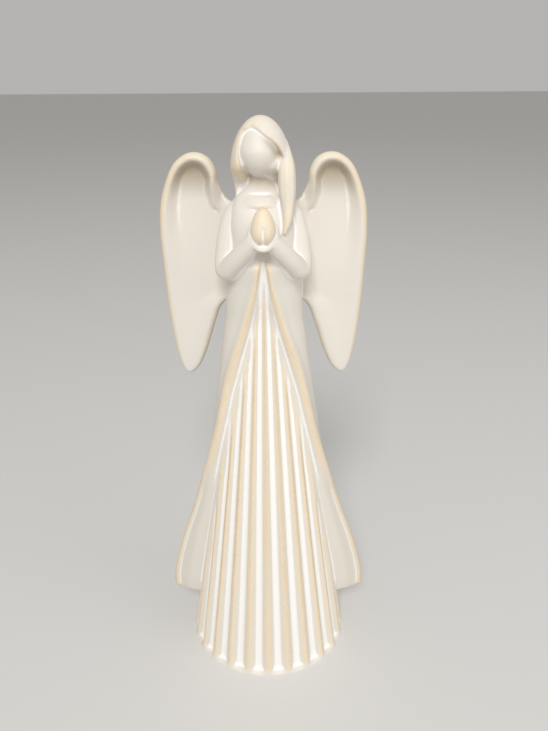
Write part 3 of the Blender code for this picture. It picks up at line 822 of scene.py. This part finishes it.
class GlazeColours(bpy.types.PropertyGroup):
    """Colours of the glaze, and the colour of the shade painted on it, as linear red, green and blue."""

    body: bpy.props.FloatVectorProperty(
        name="Body", description="Glaze over the broad, even areas", subtype="COLOR", size=3,
        min=0.0, max=1.0, default=(0.76, 0.715, 0.645))
    pooled: bpy.props.FloatVectorProperty(
        name="Pooled", description="Thick white glaze in grooves and creases", subtype="COLOR", size=3,
        min=0.0, max=1.0, default=(0.92, 0.90, 0.865))
    broken: bpy.props.FloatVectorProperty(
        name="Broken", description="Thin warm glaze over ridges and rims", subtype="COLOR", size=3,
        min=0.0, max=1.0, default=(0.82, 0.70, 0.53))
    bare: bpy.props.FloatVectorProperty(
        name="Bare", description="Tan where the glaze is thinnest, on the sharpest ridges", subtype="COLOR",
        size=3, min=0.0, max=1.0, default=(0.66, 0.51, 0.33))
    # Painted shade: the dark colour that stands for the shadow under fringe, chin and rims.
    painted_shade_colour: bpy.props.FloatVectorProperty(
        name="Olive", description="Glaze in the deep places under fringe, chin and rims", subtype="COLOR",
        size=3, min=0.0, max=1.0, default=(0.40, 0.32, 0.21))
    roughness: bpy.props.FloatProperty(
        name="Roughness", description="Roughness of the satin glaze", subtype="FACTOR",
        default=0.50, min=0.05, max=1.0)


def colours():
    """The glaze's colours as they are set in the panel."""
    return bpy.context.scene.angel_glaze


class Nodes:
    """Short ways to add and join the nodes of one material."""

    def __init__(self, material):
        material.use_nodes = True
        self.tree = material.node_tree
        self.shader = self.tree.nodes["Principled BSDF"]

    def add(self, kind, **settings):
        node = self.tree.nodes.new(kind)
        for key, value in settings.items():
            setattr(node, key, value)
        return node

    def join(self, source, target):
        self.tree.links.new(source, target)

    def value(self, name):
        return self.add("ShaderNodeAttribute", attribute_name=name).outputs["Fac"]

    def maths(self, operation, first, second):
        node = self.add("ShaderNodeMath", operation=operation)
        for socket, value in zip(node.inputs, (first, second)):
            if isinstance(value, (int, float)):
                socket.default_value = value
            else:
                self.join(value, socket)
        return node.outputs[0]

    def range(self, source, low, high):
        node = self.add("ShaderNodeMapRange", interpolation_type="SMOOTHSTEP", clamp=True)
        self.join(source, node.inputs["Value"])
        node.inputs["From Min"].default_value = low
        node.inputs["From Max"].default_value = high
        return node.outputs["Result"]

    def noise(self, scale, detail, stretch=(1.0, 1.0, 1.0)):
        place = self.add("ShaderNodeTexCoord").outputs["Object"]
        mapping = self.add("ShaderNodeMapping")
        mapping.inputs["Scale"].default_value = stretch
        self.join(place, mapping.inputs["Vector"])
        node = self.add("ShaderNodeTexNoise")
        node.inputs["Scale"].default_value = scale
        node.inputs["Detail"].default_value = detail
        self.join(mapping.outputs["Vector"], node.inputs["Vector"])
        return node.outputs["Fac"]

    def blend(self, factor, first, second):
        node = self.add("ShaderNodeMix", data_type="RGBA")
        self.join(factor, node.inputs["Factor"])
        for socket, value in ((node.inputs["A"], first), (node.inputs["B"], second)):
            if isinstance(value, bpy.types.NodeSocket):
                self.join(value, socket)
            else:
                socket.default_value = (*value, 1.0)
        return node.outputs["Result"]


def satin_glaze():
    """A satin glaze that pools white in creases and runs thin and warm over ridges, with shade painted in
    the deep places.

    Warm forms pool over their whole hollows, such as the pleats, and the others only in sharp creases.
    """
    material = bpy.data.materials.new("satin_glaze")
    nodes = Nodes(material)
    look = colours()
    mottle = nodes.maths("SUBTRACT", nodes.noise(90.0, 4.0), 0.5)
    streaks = nodes.maths("SUBTRACT", nodes.noise(260.0, 3.0, (1.0, 1.0, 0.08)), 0.5)
    near = nodes.value("near_relief")
    wide = nodes.value("wide_relief")
    warmth = nodes.value("warmth")
    relief = nodes.maths("ADD", nodes.maths("MULTIPLY", near, RUN_NEAR),
                         nodes.maths("MULTIPLY", wide, RUN_WIDE))
    relief = nodes.maths("ADD", relief, nodes.maths("MULTIPLY", mottle, 0.55))
    relief = nodes.maths("ADD", relief, nodes.maths("MULTIPLY", streaks, 0.30))
    bared = nodes.maths("MULTIPLY", nodes.maths("ADD", relief, 0.10), warmth)
    thin = nodes.range(bared, 0.14, 0.85)
    worn = nodes.range(bared, 1.00, 2.60)
    breadth = nodes.maths("SUBTRACT", nodes.maths("MULTIPLY", warmth, 2.6), 1.0)
    sunk = nodes.maths("ADD", nodes.maths("MULTIPLY", near, POOL_NEAR),
                       nodes.maths("MULTIPLY", wide, breadth))
    thick = nodes.range(sunk, -0.30, -1.00)
    colour = nodes.blend(thin, tuple(look.body), tuple(look.broken))
    colour = nodes.blend(worn, colour, tuple(look.bare))
    colour = nodes.blend(thick, colour, tuple(look.pooled))
    # Painted shade: the glaze is darkened towards a dark brown where each form's shade weights say shadow
    # falls.
    deep = nodes.maths("MULTIPLY", nodes.value("painted_shade_amount"), 0.8)
    colour = nodes.blend(deep, colour, tuple(look.painted_shade_colour))
    flecks = nodes.range(nodes.noise(900.0, 2.0), 0.66, 0.74)
    flecks = nodes.maths("MULTIPLY", flecks, nodes.maths("ADD", nodes.maths("MULTIPLY", thin, 0.35), 0.10))
    colour = nodes.blend(flecks, colour, FLECK)
    nodes.join(colour, nodes.shader.inputs["Base Color"])
    nodes.shader.inputs["Roughness"].default_value = look.roughness
    nodes.shader.inputs["Specular IOR Level"].default_value = SPECULAR
    bump = nodes.add("ShaderNodeBump")
    bump.inputs["Strength"].default_value = 0.12
    bump.inputs["Distance"].default_value = BUMP_DISTANCE
    nodes.join(nodes.noise(420.0, 3.0), bump.inputs["Height"])
    nodes.join(bump.outputs["Normal"], nodes.shader.inputs["Normal"])
    return material


class ANGEL_OT_glaze(bpy.types.Operator):
    """Give the cast figurine its satin glaze"""

    bl_idname = "angel.glaze"
    bl_label = "Glaze"

    def execute(self, context):
        figure = bpy.data.objects[PIECE]
        figure.data.materials.clear()
        figure.data.materials.append(satin_glaze())
        return {"FINISHED"}


class StageSettings(bpy.types.PropertyGroup):
    """The floor, the light and the room's tone round the figurine."""

    floor_tone: bpy.props.FloatVectorProperty(
        name="Floor", description="Colour of the plain floor", subtype="COLOR", size=3,
        min=0.0, max=1.0, default=(0.68, 0.67, 0.65))
    room_light: bpy.props.FloatProperty(
        name="Room light", description="Strength of the even light from all round", default=0.46, min=0.0)
    key_light: bpy.props.FloatProperty(
        name="Key light", description="Strength of the large soft light above the front", unit="POWER",
        default=36.0, min=0.0)
    fill_light: bpy.props.FloatProperty(
        name="Fill light", description="Strength of the soft light from the side", unit="POWER",
        default=1.6, min=0.0)


def add_soft_light(name, power, size, place, aim):
    """A square soft light at a place, turned to what it lights."""
    bpy.ops.object.light_add(type="AREA", location=place)
    light = bpy.context.object
    light.name = name
    light.data.name = name
    light.data.energy = power
    light.data.size = size
    light.rotation_euler = (Vector(aim) - Vector(place)).to_track_quat("-Z", "Y").to_euler()


def add_camera(height):
    """The camera at the photograph's place and angle, fitted to the figurine's outline."""
    pitch, roll = math.radians(CAMERA_PITCH), math.radians(CAMERA_ROLL)
    up = Vector((0.0, math.sin(pitch), math.cos(pitch)))
    right = Vector((1.0, 0.0, 0.0))
    forward = Vector((0.0, math.cos(pitch), -math.sin(pitch)))
    turned_up = up * math.cos(roll) + right * math.sin(roll)
    turned_right = right * math.cos(roll) - up * math.sin(roll)
    place = Matrix((turned_right, turned_up, -forward)).transposed().to_4x4()
    place.translation = Vector(CAMERA_PLACE) * height
    bpy.ops.object.camera_add()
    camera = bpy.context.object
    camera.matrix_world = place
    camera.data.sensor_fit = "AUTO"
    camera.data.sensor_width = SENSOR
    camera.data.lens = SENSOR * FOCAL_PIXELS / PICTURE_HEIGHT
    camera.data.clip_start = 0.005
    camera.data.clip_end = 100.0
    bpy.context.scene.camera = camera


class ANGEL_OT_stage(bpy.types.Operator):
    """Add the plain floor, the soft lights and the camera"""

    bl_idname = "angel.stage"
    bl_label = "Stage"

    def execute(self, context):
        stage = context.scene.angel_stage
        height = sizes().height
        bpy.ops.object.select_all(action="DESELECT")
        bpy.ops.mesh.primitive_plane_add(size=FLOOR_SIZE)
        floor = context.object
        floor.name = "floor"
        material = bpy.data.materials.new("plain_floor")
        nodes = Nodes(material)
        nodes.shader.inputs["Base Color"].default_value = (*stage.floor_tone, 1.0)
        nodes.shader.inputs["Roughness"].default_value = 0.75
        floor.data.materials.append(material)
        world = bpy.data.worlds.new("room")
        context.scene.world = world
        world.use_nodes = True
        background = world.node_tree.nodes["Background"]
        background.inputs["Color"].default_value = ROOM_TONE
        background.inputs["Strength"].default_value = stage.room_light
        middle = (0.0, 0.0, height / 2.0)
        add_soft_light("key", stage.key_light, KEY_SIZE, KEY_PLACE, middle)
        add_soft_light("fill", stage.fill_light, FILL_SIZE, FILL_PLACE, middle)
        add_camera(height)
        context.scene.view_settings.view_transform = "Standard"
        return {"FINISHED"}


class ANGEL_PT_panel(bpy.types.Panel):
    """Lists the steps that make the figurine, with its sizes and colours"""

    bl_idname = "ANGEL_PT_panel"
    bl_label = "Angel figurine"
    bl_space_type = "VIEW_3D"
    bl_region_type = "UI"
    bl_category = "Angel"

    def draw(self, context):
        for settings in (context.scene.angel_sizes, context.scene.angel_glaze, context.scene.angel_stage):
            for name in settings.__annotations__:
                self.layout.prop(settings, name)
        for operator in OPERATORS:
            self.layout.operator(operator.bl_idname)


OPERATORS = (ANGEL_OT_gown, ANGEL_OT_arms, ANGEL_OT_head, ANGEL_OT_wings, ANGEL_OT_cast, ANGEL_OT_glaze,
             ANGEL_OT_stage)
CLASSES = (FigureSizes, GlazeColours, StageSettings) + OPERATORS + (ANGEL_PT_panel,)


def register():
    """Registers the classes and the settings that the panel shows."""
    for cls in CLASSES:
        bpy.utils.register_class(cls)
    bpy.types.Scene.angel_sizes = bpy.props.PointerProperty(type=FigureSizes)
    bpy.types.Scene.angel_glaze = bpy.props.PointerProperty(type=GlazeColours)
    bpy.types.Scene.angel_stage = bpy.props.PointerProperty(type=StageSettings)


def unregister():
    """Takes the settings and the classes away again."""
    del bpy.types.Scene.angel_stage
    del bpy.types.Scene.angel_glaze
    del bpy.types.Scene.angel_sizes
    for cls in reversed(CLASSES):
        bpy.utils.unregister_class(cls)


def main():
    """Builds the figurine and its stage."""
    register()
    bpy.context.scene.collection.children.link(bpy.data.collections.new(FORMS))
    bpy.ops.angel.gown()
    bpy.ops.angel.arms()
    bpy.ops.angel.head()
    bpy.ops.angel.wings()
    bpy.ops.angel.cast()
    bpy.ops.angel.glaze()
    bpy.ops.angel.stage()


if __name__ == "__main__":
    main()
